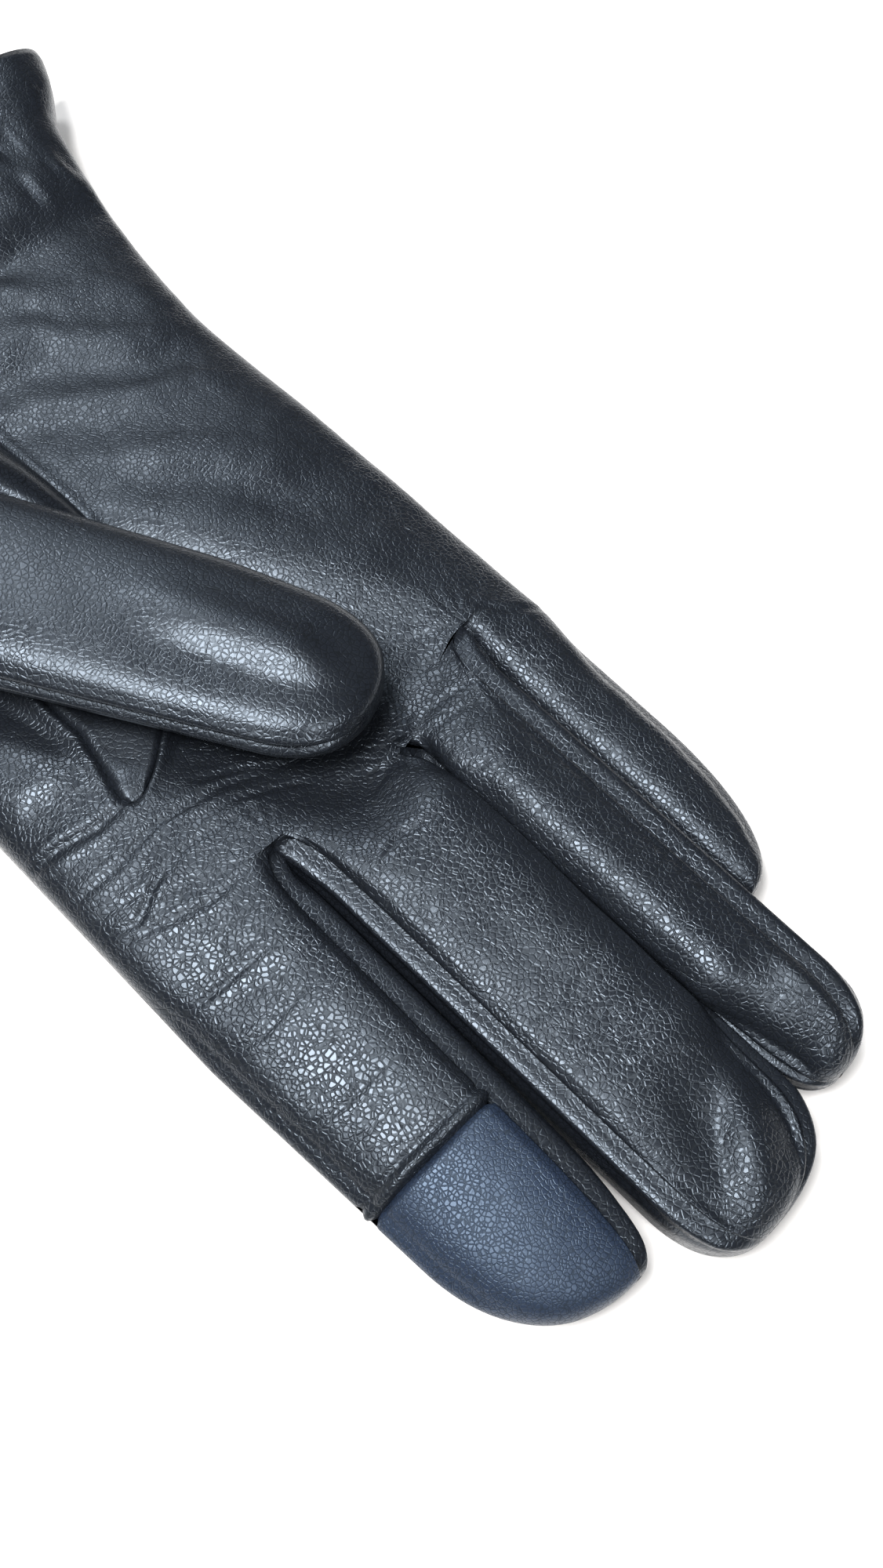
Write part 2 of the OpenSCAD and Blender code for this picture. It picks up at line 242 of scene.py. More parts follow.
def leatherMaterial(name, knobs):
    # Pebbled grain of two sizes, fine stretch lines and soft patches of wear on near-black hide, with
    # painted shade darkening the valleys between the pebbles
    material = bpy.data.materials.new(name)
    material.use_nodes = True
    tree = material.node_tree
    link = tree.links.new
    shader = tree.nodes["Principled BSDF"]
    shader.inputs["Specular Tint"].default_value = knobs["tint"]
    shader.inputs["IOR"].default_value = knobs["ior"]
    cell = knobs["cellSize"]
    place = addNode(tree, "ShaderNodeAttribute", attribute_name="grainPlace").outputs["Vector"]
    depth = addNode(tree, "ShaderNodeAttribute", attribute_name="grainDepth").outputs["Fac"]

    wobble = addNode(tree, "ShaderNodeTexNoise", Scale=0.3 / cell, Detail=2.0)
    link(place, wobble.inputs["Vector"])
    shifted = addNode(tree, "ShaderNodeVectorMath", operation="MULTIPLY_ADD")
    shifted.inputs[1].default_value = (cell * knobs["wander"],) * 3
    link(wobble.outputs["Color"], shifted.inputs[0])
    link(place, shifted.inputs[2])

    cells = edgeCells(tree, shifted.outputs[0], cell)
    pebble = ramp(tree, cells, 0.0, 0.2)
    finePebble = ramp(tree, edgeCells(tree, shifted.outputs[0], knobs["fineSize"]), 0.0, 0.16)
    crackLine = ramp(tree, edgeCells(tree, shifted.outputs[0], knobs["crackSize"]), 0.0, 0.03)

    patches = addNode(tree, "ShaderNodeTexNoise", Scale=knobs["patchesPerMetre"], Detail=3.0)
    link(place, patches.inputs["Vector"])
    patchy = ramp(tree, patches.outputs["Fac"], 0.38, 0.66, 0.8, 1.0)
    strength = mathNode(tree, "MULTIPLY", patchy, depth)
    pores = addNode(tree, "ShaderNodeTexNoise", Scale=knobs["poresPerMetre"], Detail=3.0)
    link(place, pores.inputs["Vector"])

    normal = addBump(tree, pebble, knobs["cellDepth"], strength, None)
    normal = addBump(tree, crackLine, knobs["crackDepth"], depth, normal)
    normal = addBump(tree, finePebble, knobs["fineDepth"], 0.8, normal)
    normal = addBump(tree, pores.outputs["Fac"], knobs["fineDepth"] * 0.8, 0.5, normal)
    link(normal, shader.inputs["Normal"])

    tones = mixColours(tree, patchy, knobs["colour"], knobs["wornColour"])
    # Painted shade: the base colour is darkened in the narrow valleys between the pebbles
    paintedValleyShade = tuple(c * knobs["valleyPaintedShade"] for c in knobs["colour"])
    link(mixColours(tree, ramp(tree, cells, 0.0, 0.12), paintedValleyShade, tones), shader.inputs["Base Color"])

    base, swing = knobs["roughness"], knobs["glossSwing"]
    gloss = ramp(tree, patches.outputs["Fac"], 0.3, 0.7, base + swing, base - swing, False)
    inValley = ramp(tree, cells, 0.02, 0.12, knobs["valleyDull"], 0.0)
    link(mathNode(tree, "MULTIPLY_ADD", inValley, strength, gloss), shader.inputs["Roughness"])
    return material


blackLeather = leatherMaterial("blackLeather", leatherKnobs)
touchKnobs = {
    **leatherKnobs,
    "colour": (0.0095, 0.0155, 0.030),
    "wornColour": (0.0145, 0.022, 0.040),
    "tint": (0.60, 0.77, 1.0, 1.0),
    "roughness": 0.40,
    "cellSize": 0.00066,
    "cellDepth": 0.00004,
    "fineDepth": 0.000004,
    "crackDepth": 0.000015,
}
touchLeather = leatherMaterial("touchLeather", touchKnobs)


knitKnobs = {"roughness": 0.9, "sheen": 0.3, "bands": 0.31, "waver": 1.5, "depth": 0.4, "shade": 0.5}


def knitMaterial(name, colour, pitch):
    # Rows of small loops across a knit or woven cloth: two sets of bands multiplied, pitch metres apart
    material = bpy.data.materials.new(name)
    material.use_nodes = True
    tree = material.node_tree
    link = tree.links.new
    shader = tree.nodes["Principled BSDF"]
    shader.inputs["Roughness"].default_value = knitKnobs["roughness"]
    shader.inputs["Sheen Weight"].default_value = knitKnobs["sheen"]
    place = addNode(tree, "ShaderNodeAttribute", attribute_name="grainPlace")
    bands = []
    for direction in "XY":
        wave = addNode(tree, "ShaderNodeTexWave", Scale=knitKnobs["bands"] / pitch,
                       Distortion=knitKnobs["waver"], bands_direction=direction)
        link(place.outputs["Vector"], wave.inputs["Vector"])
        bands.append(wave.outputs["Fac"])
    loops = mathNode(tree, "MULTIPLY", *bands)
    link(addBump(tree, loops, pitch * knitKnobs["depth"], 0.8, None), shader.inputs["Normal"])
    shade = tuple(c * knitKnobs["shade"] for c in colour)
    link(mixColours(tree, loops, shade, colour), shader.inputs["Base Color"])
    return material


liningKnit = knitMaterial("liningKnit", (0.045, 0.045, 0.05), 0.0012)
elasticWeave = knitMaterial("elasticWeave", (0.09, 0.09, 0.095), 0.0008)
labelSatin = knitMaterial("labelSatin", (0.5, 0.49, 0.46), 0.0004)
print("materials made")


handKnobs = {
    "power": 3.03,            # squareness of the hand's section
    "top": 14.8,              # height of the hand laid flat
    "wristY": -45,            # where the wrist is narrowest
    "waist": 0.4,             # how much narrower it is there, on each side
    "wristDip": 2.4,          # and how much lower
    "flarePower": 1.6,        # how late the cuff widens
    "step": 0.42,             # spacing of the mesh, mm
    "leftTrim": 1.8,          # how much slimmer the leather is on the little finger's side
    "hemRoll": 1.6,           # radius of the fold at the cuff's edge
    "cornerCut": 12.0,        # how far the cuff's corner on the little finger's side is drawn back
    "cornerX": 38,            # it starts this far from the middle
    "cornerY": -95,
}
backLow, backHigh = boxOf("back_panel")
cuffY = backLow[1]
handHalf = boxOf("index_lining_lower")[1][0] + 1
leftHalf = handHalf - handKnobs["leftTrim"]
handTop = handKnobs["top"]
cuffTop = boxOf("palm_panel")[1][2]


def sideFlare(y):  # 0 at the wrist, 1 at the cuff
    wrist = handKnobs["wristY"]
    return np.clip((wrist - y) / (wrist - cuffY), 0, 1) ** handKnobs["flarePower"]


def handHeight(y):  # lowest at the wrist, highest at the cuff's mouth
    dip = handKnobs["wristDip"] * bell(y - handKnobs["wristY"] + 25, 28)
    return handTop - dip + (cuffTop - handTop) * sideFlare(y)


def handPoint(phi, y, inset=0):  # oval section whose width and height follow y
    x, z = ovalPoint(phi, handKnobs["power"])
    trim = handKnobs["waist"] * bell(y - handKnobs["wristY"], 30)
    toLeft = leftHalf - trim + (-backLow[0] - leftHalf) * sideFlare(y)
    toRight = handHalf - trim + (backHigh[0] - handHalf) * sideFlare(y)
    half = np.where(x < 0, toLeft, toRight) - inset
    high = handHeight(y) - 2 * inset
    atCorner = ease((-x * half - handKnobs["cornerX"]) / 16) * ease((handKnobs["cornerY"] - y) / 32)
    drawn = handKnobs["cornerCut"] * atCorner
    return np.stack(np.broadcast_arrays(x * half, y + drawn, inset + high / 2 * (1 + z)), -1)


# Where neighbouring fingers part: x and y of each crotch
crotches = {"indexMiddle": (16.4, 37.4), "middleRing": (-7.8, 39.4), "ringLittle": (-29.9, 30.4)}
# round: length of the rounded tip, taper and lean: how much it narrows and leans towards its tip,
# seamLeft and seamRight: degrees above the side where the front's seams lie
fingerKnobs = {
    "index": {"round": 22, "taper": 0.16, "lean": -0.6, "crotchLeft": "indexMiddle", "outerY": 33,
              "seamLeft": 45},
    "middle": {"round": 14, "taper": 0.04, "lean": 0.3, "crotchLeft": "middleRing",
               "crotchRight": "indexMiddle", "seamLeft": 30, "seamRight": 45},
    "ring": {"round": 14, "taper": 0.04, "lean": 0.2, "crotchLeft": "ringLittle",
             "crotchRight": "middleRing", "seamLeft": 56, "seamRight": 14},
    "little": {"round": 30, "taper": 0.06, "lean": 0.8, "crotchRight": "ringLittle", "outerY": 26,
               "seamRight": 18},
}
backSeam = math.radians(45)    # the same for the seams of the fingers' backs
fingerPower = 2.6              # squareness of a finger's section
tipPower = 2.3                 # squareness of a fingertip's outline
fingers = {}
for name, knobs in fingerKnobs.items():
    low, high = boxOf(name + "_lining_lower")
    fingers[name] = {**knobs, "name": name, "x": jointAt[name + "_knuckle"][0],
                     "root": jointAt[name + "_knuckle"][1] - 8,
                     "left": (high[0] - low[0]) / 2 + 1, "right": (high[0] - low[0]) / 2 + 1,
                     "top": high[2] + 1, "tip": boxOf(name + "_back_upper")[1][1] + 0.8,
                     "bend": jointAt[name + "_middle_joint"]}
for one, other in (("middle", "index"), ("ring", "middle"), ("little", "ring")):
    a, b = fingers[one], fingers[other]
    between = (a["x"] + a["right"] + b["x"] - b["left"]) / 2
    a["right"] = between - 0.15 - a["x"]
    b["left"] = b["x"] - between - 0.15
fingers["little"]["left"] -= handKnobs["leftTrim"]


def fingerPoint(f, phi, y, inset=0, power=fingerPower):
    # Oval section that narrows a little along the finger and rounds off at the tip
    s = y - f["root"]
    length = f["tip"] - f["root"] - inset
    capT = np.clip((s - length + f["round"]) / f["round"], 0, 1)
    cap = (1 - capT ** tipPower) ** (1 / tipPower)
    narrow = cap * (1 - f["taper"] * np.clip((s - 20) / (length - 20), 0, 1))
    x, z = ovalPoint(phi, power)
    half = np.where(x < 0, f["left"], f["right"]) * narrow - inset * np.minimum(1, narrow * 3)
    high = f["top"] * (0.25 + 0.75 * narrow) - 2 * inset
    base = (f["top"] - high - 2 * inset) * 0.4 + inset
    middle = f["x"] + f["lean"] * (f["left"] + f["right"]) / 2 * (1 - narrow)
    return np.stack(np.broadcast_arrays(middle + x * half, y, base + high / 2 * (1 + z)), -1)


def handAngle(x):  # polar angle on the upper half of the hand's section at x
    half = handHalf if x > 0 else leftHalf
    xs = np.clip(abs(x) / half, 0, 1)
    z = (1 - xs ** handKnobs["power"]) ** (1 / handKnobs["power"])
    return math.atan2(z, x / half)


def stripEdges(f, upper):
    # Angles at the left and right edge of a finger's front or back, on the hand and on the finger
    left = f.get("crotchLeft")
    right = f.get("crotchRight")
    handLeft = handAngle(crotches[left][0]) if left else math.pi
    handRight = handAngle(crotches[right][0]) if right else 0
    fingerLeft = math.pi - (math.radians(f["seamLeft"]) if upper else backSeam) if left else math.pi
    fingerRight = (math.radians(f["seamRight"]) if upper else backSeam) if right else 0
    sign = 1 if upper else -1
    return sign * handLeft, sign * handRight, sign * fingerLeft, sign * fingerRight


def rootLine(f, u):  # y where the finger leaves the hand, u going from 0 at its left edge to 1
    left = crotches[f["crotchLeft"]][1] if "crotchLeft" in f else f["outerY"]
    right = crotches[f["crotchRight"]][1] if "crotchRight" in f else f["outerY"]
    return mix(left, right, ease(u))


def stripColumns(f, upper):
    # Even columns across a finger's front or back: u, angles on the hand and finger, mm to each edge
    hand0, hand1, own0, own1 = stripEdges(f, upper)
    wide = (f["left"] + f["right"]) / 2
    length = evenAngles(own0, own1, wide, f["top"] / 2, fingerPower, 400)[1]
    count = int(length / handKnobs["step"]) + 2
    own = evenAngles(own0, own1, wide, f["top"] / 2, fingerPower, count)[0]
    hand = evenAngles(hand0, hand1, handHalf, handTop / 2, handKnobs["power"], count)[0]
    u = np.linspace(0, 1, count)
    toLeft = u * length if "crotchLeft" in f else np.full(count, 99.0)
    toRight = (1 - u) * length if "crotchRight" in f else np.full(count, 99.0)
    return u, hand, own, np.minimum(toLeft, toRight)


def leaving(s, toSeam):
    # How far the finger's own shape has taken over from the hand's at s mm past the root:
    # slowly in the middle, and at once beside a crotch, which makes the slit's end round
    return mix(ease(s / 18), roundOff(s / 9), bell(toSeam, 3))


def fingerRows(f, y0, y1):  # y of each row as shares, closer together on the rounded tip
    count = int((y1 - y0) / handKnobs["step"]) + 2
    if y1 < f["tip"] - 1:
        return np.linspace(0, 1, count)
    start = (f["tip"] - f["round"] * 0.8 - y0) / (f["tip"] - y0)
    straight = np.linspace(0, start, int(count * start) + 2)[:-1]
    turn = start + (1 - start) * np.sin(np.linspace(0, math.pi / 2, int(count * (1 - start) * 1.6)))
    return np.concatenate([straight, turn])


seamProfile = ((-0.95, 0.0, 0.5), (0.42, 1.05, 0.42), (0.1, 2.6, 1.0))   # rise, mm from it, half width


def seamGroove(d, s):  # the leather rolls up beside a seam, then dips into it, d mm away
    groove = sum(rise * bell(d - at, width) for rise, at, width in seamProfile)
    return groove * ease(s / 2)


def radial(points, f):  # unit direction away from the finger's middle line
    middle = np.stack([np.full(points.shape[:2], f["x"]), points[..., 1],
                       np.full(points.shape[:2], f["top"] * 0.45)], -1)
    way = points - middle
    nearTip = ease((points[..., 1] - f["tip"] + 9) / 9)
    way[..., 1] += nearTip * 9
    return way / np.maximum(np.linalg.norm(way, axis=2, keepdims=True), 1e-6)


# Creases pressed into the leather: points in mm, depth and half width
creaseLines = [
    (((27, 17), (33.5, 16.9), (40.8, 14.8), (46, 14)), 0.5, 0.8),
    (((44, 22.8), (36, 23.3), (26.3, 23.2), (15, 24.7), (6, 29)), 0.26, 0.6),
    (((42, 27), (33, 29.5), (24, 29), (13, 31)), 0.18, 0.5),
    (((44, 30), (39, 32), (33.3, 29.4), (29, 27.9)), 0.28, 0.6),
    (((42, 33), (36.5, 34.6), (28.9, 37.7), (21, 37.9)), 0.24, 0.55),
    (((19, 20.8), (12, 24.2), (4, 29.8)), 0.18, 0.5),
    (((24, 26), (16.6, 27.2), (8.9, 31.5), (4, 34)), 0.15, 0.5),
    (((-14, 24.5), (-23, 26), (-33, 31)), 0.16, 0.6),
    (((-16, 30), (-22.6, 31.5), (-27, 35)), 0.12, 0.5),
    (((-14, 37), (-20.6, 37.8), (-27, 40)), 0.14, 0.5),
    (((-12.5, 40), (-19, 41.2), (-26.3, 44)), 0.13, 0.5),
    (((-12, 44.6), (-19.8, 44.4), (-25, 45.8)), 0.13, 0.5),
    (((-11, 49.6), (-17.6, 51.5), (-23.5, 55.8)), 0.12, 0.5),
    (((-10.5, 54.7), (-16.9, 57.2), (-23.5, 61.6)), 0.1, 0.45),
    (((-13, 61), (-20, 62.6), (-25, 66)), 0.1, 0.5),
    (((-34, 28), (-37.6, 33.5), (-43, 37)), 0.2, 0.6),
    (((44.5, 46.6), (36, 48.9), (27, 49.4)), 0.2, 0.5),
    (((44, 56), (37, 58.2), (29, 57.5)), 0.18, 0.6),
    (((43, 71.6), (36, 72.6), (28, 73)), 0.16, 0.5),
    (((42.5, 77), (36, 78.4), (31, 78)), 0.10, 0.5),
    (((9, 52), (3, 50.2), (-4, 52)), 0.2, 0.5),
    (((11, 83), (3, 85), (-6, 83.5)), 0.09, 0.6),
    (((-15, 80), (-21, 81), (-26, 79.5)), 0.1, 0.6),
]
# Broad soft folds that stand up from the leather: points in mm, height and half width
foldLines = [
    (((22, -96), (0, -92), (-16, -90), (-30, -86), (-40, -72)), 1.1, 5.0),
    (((20, -80), (-2, -78), (-18, -74), (-30, -66), (-40, -56)), 0.8, 3.6),
    (((10, -70), (-8, -67), (-20, -61), (-30, -52), (-40, -48)), 1.0, 4.4),
    (((2, -54), (-8, -50), (-17, -44), (-26, -38), (-38, -33)), 0.6, 3.4),
    (((-8, -38), (-16, -31), (-24, -21), (-36, -8)), 0.7, 4.0),
    (((-20, 6), (-28, 10), (-38, 14)), 0.45, 4.0),
    (((46, -6), (38, 4), (30, 8)), 0.5, 3.6),
    (((40, -70), (26, -64), (14, -72), (4, -74)), 0.7, 4.0),
]
gussetEdge = {  # the tongue sewn into the thumb hole: x of its two sides at each y
    "y": (-26, -12, 3, 9, 12.5, 14.6, 16.2, 17.3, 17.9),
    "left": (0.5, 4, 10, 13.4, 17, 19.6, 21.9, 24, 25.6),
    "right": (28, 26.2, 25.4, 26.5, 27.4, 27.9, 28, 27.5, 26.6),
}


def insideGusset(x, y):  # mm inside the tongue's outline, negative outside it
    left = np.interp(y, gussetEdge["y"], gussetEdge["left"])
    right = np.interp(y, gussetEdge["y"], gussetEdge["right"])
    return np.minimum(np.minimum(x - left, right - x), (gussetEdge["y"][-1] - y) * 0.8)


# How each finger's top slopes sideways: its middle line, half width and rise per mm towards the thumb
fingerTilts = [(31, 12, -0.18), (2.5, 11, -0.03), (-20, 9.5, 0.27), (-37, 8, 0.2)]
# The hollow across the middle fingertip: a line in mm, depth, half width and rise beyond it
tipHollow = {"line": ((-6, 103), (3, 113), (12, 123)), "deep": 1.7, "width": 3.0, "rise": 0.8}


# The leather gathered by the elastic: where along the hand, its reach, and how deep the pulled-in band is
gatherKnobs = {"y": -95, "reach": 12, "rise": 0.85, "size": 5.5, "bandY": -79, "bandDepth": 1.0,
               "bandHalf": 4.5}
# The palm under the folded thumb: how deep and how wide it is pressed, and the swell beside it
pressKnobs = {"deep": 2.2, "half": 24, "swell": 0.9}


def tilts(x, y):  # slope times distance from each finger's middle, faded off its sides and ends
    total = 0
    along = ease((y - 36) / 16) * ease((125 - y) / 30)
    for middle, half, slope in fingerTilts:
        total = total + slope * (x - middle) * bell(x - middle, half * 1.6) * along
    return total - 0.42 * (x + 20) * bell(x + 20, 12) * ease((y - 97) / 9)   # ring fingertip, turned back


def creasesAndFolds(x, y):
    # A groove with low banks along each crease, and a hump with a dip behind it along each fold,
    # both faded towards their ends and bent a little by noise
    total = 0
    bent = 1.2 * softNoise(x, y, 9, 7)
    for points, deep, width in creaseLines:
        d, share = alongLine(x, y + bent * 0.6, points)
        ends = np.sin(math.pi * share) ** 0.5
        total = total - deep * ends * (bell(d, width) - 0.45 * bell(np.abs(d) - 2.1 * width, width))
    for points, high, width in foldLines:
        d, share = alongLine(x, y + bent * 2.2, points)
        ends = np.sin(math.pi * share) ** 0.7
        total = total + 0.75 * high * ends * (bell(d, width) - 0.5 * bell(d - 1.9 * width, width))
    return total


def gathers(x, y):  # narrow puckers along the hand where the elastic pulls, and the band it draws in
    k = gatherKnobs
    share = bell(y - k["y"], k["reach"]) * (0.55 + 0.45 * softNoise(x, y, 5, 11))
    wavy = x * 2.1 + 3 * softNoise(x, y, 10, 12)
    puckers = share * k["rise"] * softNoise(wavy, y * 0.5, k["size"], 13)
    return puckers - k["bandDepth"] * bell(y - k["bandY"], k["bandHalf"])


def nearCrotches(x, y, total):  # fine pleats fan out from each crotch, and the rest fades there
    for cx, cy in crotches.values():
        away = np.hypot(x - cx, y - cy)
        angle = np.arctan2(y - cy, x - cx)
        pleats = 0.05 * np.sin(angle * 15 + 2 * softNoise(x, y, 6, 15)) * bell(away - 5, 3.4)
        total = (total + pleats * (y < cy + 3)) * (1 - bell(away, 2.0))
    return total


def thumbHole(x, y):  # the palm steps down at the tongue's edge, with a low lip round it
    inside = insideGusset(x, y)
    step = -1.5 * ease((inside + 0.5) / 1.4) + 0.2 * bell(inside + 1.4, 0.9)
    return step * ease((y + 62) / 14)


def pressedByThumb(x, y):  # a broad hollow along the thumb's line, and a swell beside it
    k = pressKnobs
    along = (x - thumbRoot[0]) * thumbWay[0] + (y - thumbRoot[1]) * thumbWay[1]
    off = (x - thumbRoot[0]) * thumbSide[0] + (y - thumbRoot[1]) * thumbSide[1]
    share = ease((k["half"] - np.abs(off)) / 14) * ease((along + 6) / 16) * ease((84 - along) / 12)
    hollow = k["deep"] * share * ease(-insideGusset(x, y) / 5)
    return k["swell"] * bell(off + 24, 7) * bell(along - 34, 30) - hollow


def middleTip(x, y):  # a valley across the middle fingertip, steeper on its far side, and a rise beyond
    k = tipHollow
    d, share = alongLine(x, y, k["line"])
    paintedValleyShade = -k["deep"] * bell(np.where(d > 0, d * 0.5, d), k["width"])
    rise = k["rise"] * bell(d + 2.2 * k["width"], k["width"])
    return (paintedValleyShade + rise) * np.sin(math.pi * share) ** 0.7 * bell(x - 3, 12)


def relief(x, y):
    # Soft hills of three sizes, then everything above, in mm: the shape of the upturned side
    total = 0.4 * softNoise(x, y, 19, 3) + 0.14 * softNoise(x + y * 0.4, y, 7, 4)
    total = total + 0.05 * softNoise(x, y, 2.6, 5)
    total = total + tilts(x, y) + creasesAndFolds(x, y) + gathers(x, y)
    total = nearCrotches(x, y, total)
    return total + thumbHole(x, y) + pressedByThumb(x, y) + middleTip(x, y)


thumbKnobs = {
    "turn": 29,               # degrees from the fingers' direction towards the little finger
    "power": 3.1,
    "width": 31.5,
    "narrowing": 3.5,
    "tip": 71.0,              # distance from the root to the tip
    "high": 12.0,
    "tipTaper": 0.16,         # how much its far edge draws in towards the tip
    "seam": 14,               # degrees above the side where the near seam runs
    "farSeam": 186,
    "joint": 22,              # where the lower and upper pieces meet
    "ridge": 1.3,             # the soft ridge along its upper face
    "hollow": 0.6,            # and the hollow beside it
}
turn = math.radians(thumbKnobs["turn"])
thumbWay = np.array([-math.sin(turn), math.cos(turn)])
thumbSide = np.array([math.cos(turn), math.sin(turn)])
thumbRoot = jointAt["thumb_swing"][:2] - 3 * thumbWay - 11.5 * thumbSide
thumbTip = thumbKnobs["tip"]
thumbFloor = boxOf("thumb_under_lower")[0][2]
thumbHigh = thumbKnobs["high"]


def fingerStrip(f, upper, y0, y1):
    # Front or back of a finger between y0 and y1: the hand's oval turns into the finger's, with the
    # relief added on the front and the groove beside each seam. y0 = None starts it at the hand
    u, hand, own, toSeam = stripColumns(f, upper)
    root = rootLine(f, u)
    start = root if y0 is None else np.full(u.shape, float(y0))
    rows = fingerRows(f, start.mean(), y1)
    y = mix(start[None, :], y1, rows[:, None])
    s = y - root[None, :]
    w = leaving(s, toSeam[None, :])[..., None]
    points = mix(handPoint(hand[None, :], y), fingerPoint(f, own[None, :], y), w)
    d = np.broadcast_to(toSeam[None, :], s.shape)
    narrow = np.clip((f["tip"] - y) / 6, 0, 1)
    way = radial(points, f)
    if upper:
        share = mix(1, ease(d / 2.5), ease(s / 4)) * ease(narrow)
        share = share * ease((points[..., 2] - f["top"] * 0.5) / 3)
        points = points + normalsOf(points) * (relief(points[..., 0], points[..., 1]) * share)[..., None]
    points = points + way * (seamGroove(d, s) * ease(narrow + 0.25))[..., None]
    return points


# How each finger's walls look beside their top seam: a roll some mm away, its rise and half width,
# how squarely the wall stands out, and how far it leans over its neighbour near the top
wallKnobs = {
    "index": {"side": -1, "roll": 0.8, "rise": 0.1, "width": 0.4, "square": 3, "over": 0.7},
    "middle_a": {"side": 1, "roll": 1.5, "rise": 0.7, "width": 0.6, "square": 2.6, "over": -0.5},
    "middle_b": {"side": -1, "roll": 1.5, "rise": 0.8, "width": 0.6, "square": 3, "over": 0.3},
    "ring_a": {"side": 1, "roll": 1.1, "rise": 0.2, "width": 0.6, "square": 3, "over": 0},
    "ring_b": {"side": -1, "roll": 3.0, "rise": 0.9, "width": 2.2, "square": 5, "over": 0.45},
    "little": {"side": 1, "roll": 1.0, "rise": 0.1, "width": 0.6, "square": 2.5, "over": 0},
}
webDepth = 5.0   # how far the web between two fingers slopes before it is at its deepest


def fourchetteStrip(f, wall, y0, y1):
    # Wall of a finger between its front and back seams. It bulges from the straight line between
    # the seams to the finger's side, and starts on the sloping line that it shares with its neighbour
    side = wall["side"]
    crotch = crotches[f["crotchLeft"] if side < 0 else f["crotchRight"]]
    t = np.linspace(0, 1, 44)[None, :]
    nearest = np.clip(np.minimum(t, 1 - t) / 0.4, 0, 1)
    start = crotch[1] + webDepth * nearest ** 1.3 if y0 is None else np.full(t.shape, float(y0))
    rows = fingerRows(f, start.mean(), y1)[:, None]
    y = mix(start, y1, rows)
    s = y - crotch[1]
    handEdge = handAngle(crotch[0])
    topAngle = math.pi - math.radians(f["seamLeft"]) if side < 0 else math.radians(f["seamRight"])
    lowAngle = math.pi - backSeam if side < 0 else backSeam
    w = roundOff(s / 9)[..., None]
    top = mix(handPoint(handEdge, y), fingerPoint(f, topAngle, y), w)
    low = mix(handPoint(-handEdge, y), fingerPoint(f, -lowAngle, y), w)
    straight = mix(top, low, t[..., None])
    outer = fingerPoint(f, math.pi if side < 0 else 0.0, y)
    reach = outer[..., 0] - straight[..., 0]
    reach = mix(crotch[0] + side * 0.1 - straight[..., 0], reach, ease(s / 14))
    stretch = np.clip(nearest / np.maximum(np.clip(s / webDepth, 0.02, 1) ** (1 / 1.3), 0.02), 0, 1)
    out = 1 - (1 - stretch) ** wall["square"]
    points = straight.copy()
    points[..., 0] += reach * out + side * wall["over"] * bell(t - 0.2, 0.14) * ease((s - 4) / 8)
    across = t * np.linalg.norm(top - low, axis=-1)
    d = np.minimum(across, np.linalg.norm(top - low, axis=-1) - across)
    narrow = np.clip((f["tip"] - y) / 6, 0, 1)
    roll = wall["rise"] * bell(d - wall["roll"], wall["width"]) * (t < 0.5) * ease(s / 6)
    lift = (seamGroove(d, s) + roll) * ease(narrow + 0.25)
    points = points + radial(points, f) * lift[..., None]
    # Pressed flat where it would reach into the neighbouring finger
    plane = f["x"] + side * (f["left"] if side < 0 else f["right"])
    beyond = np.maximum(side * (points[..., 0] - plane), 0)
    points[..., 0] -= side * beyond * ease((s - 2) / 12)
    return points


def handSheet(upper):
    # One grid across all four fingers' columns, from the cuff to the line where they leave the hand.
    # It starts with a quarter circle at the cuff's fold, and the relief is added on the palm's side
    angles = []
    ends = []
    for name in ("little", "ring", "middle", "index"):
        u, hand, own, toSeam = stripColumns(fingers[name], upper)
        last = None if name == "index" else -1
        angles.append(hand[:last])
        ends.append(rootLine(fingers[name], u)[:last])
    hand = np.concatenate(angles)[None, :]
    end = np.concatenate(ends)[None, :]
    roll = handKnobs["hemRoll"]
    turned = np.linspace(-math.pi / 2, 0, 9)[:-1]
    count = int((end.mean() - cuffY) / handKnobs["step"]) + 2
    flat = mix(cuffY + roll, end, np.linspace(0, 1, count)[:, None])
    hem = np.broadcast_to(cuffY + roll * (1 - np.cos(turned))[:, None], (len(turned), hand.shape[1]))
    y = np.concatenate([hem, flat])
    inset = np.concatenate([roll * (-np.sin(turned)), np.zeros(count)])[:, None]
    points = handPoint(hand, y, inset * 0.8)
    if upper:
        fade = ease((points[..., 2] - handHeight(y) * 0.5) / 4) * ease((y - cuffY - 1) / 14)
        points = points + normalsOf(points) * (relief(points[..., 0], points[..., 1]) * fade)[..., None]
        hemLine = bell(y - cuffY - 17, 0.9) - 0.6 * bell(y - cuffY - 14.5, 2.5)   # the hem shows through
        points[..., 2] -= 0.12 * hemLine * fade
    return points


def grainAt(points):  # the grain is boldest on the fingers and finer towards the wrist
    x, y = points[..., 0], points[..., 1]
    return np.clip(0.64 + 0.36 * ease((y + 20) / 55) + 0.08 * softNoise(x, y, 12, 21), 0.4, 1)


points = handSheet(True)
palm = makeSheet("palmLeather", points, blackLeather, flip=True, grain=grainAt(points))
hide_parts("palm_panel")
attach(palm, "hand")
points = handSheet(False)
back = makeSheet("backLeather", points, blackLeather, grain=grainAt(points) * 0.8)
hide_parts("back_panel")
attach(back, "hand")


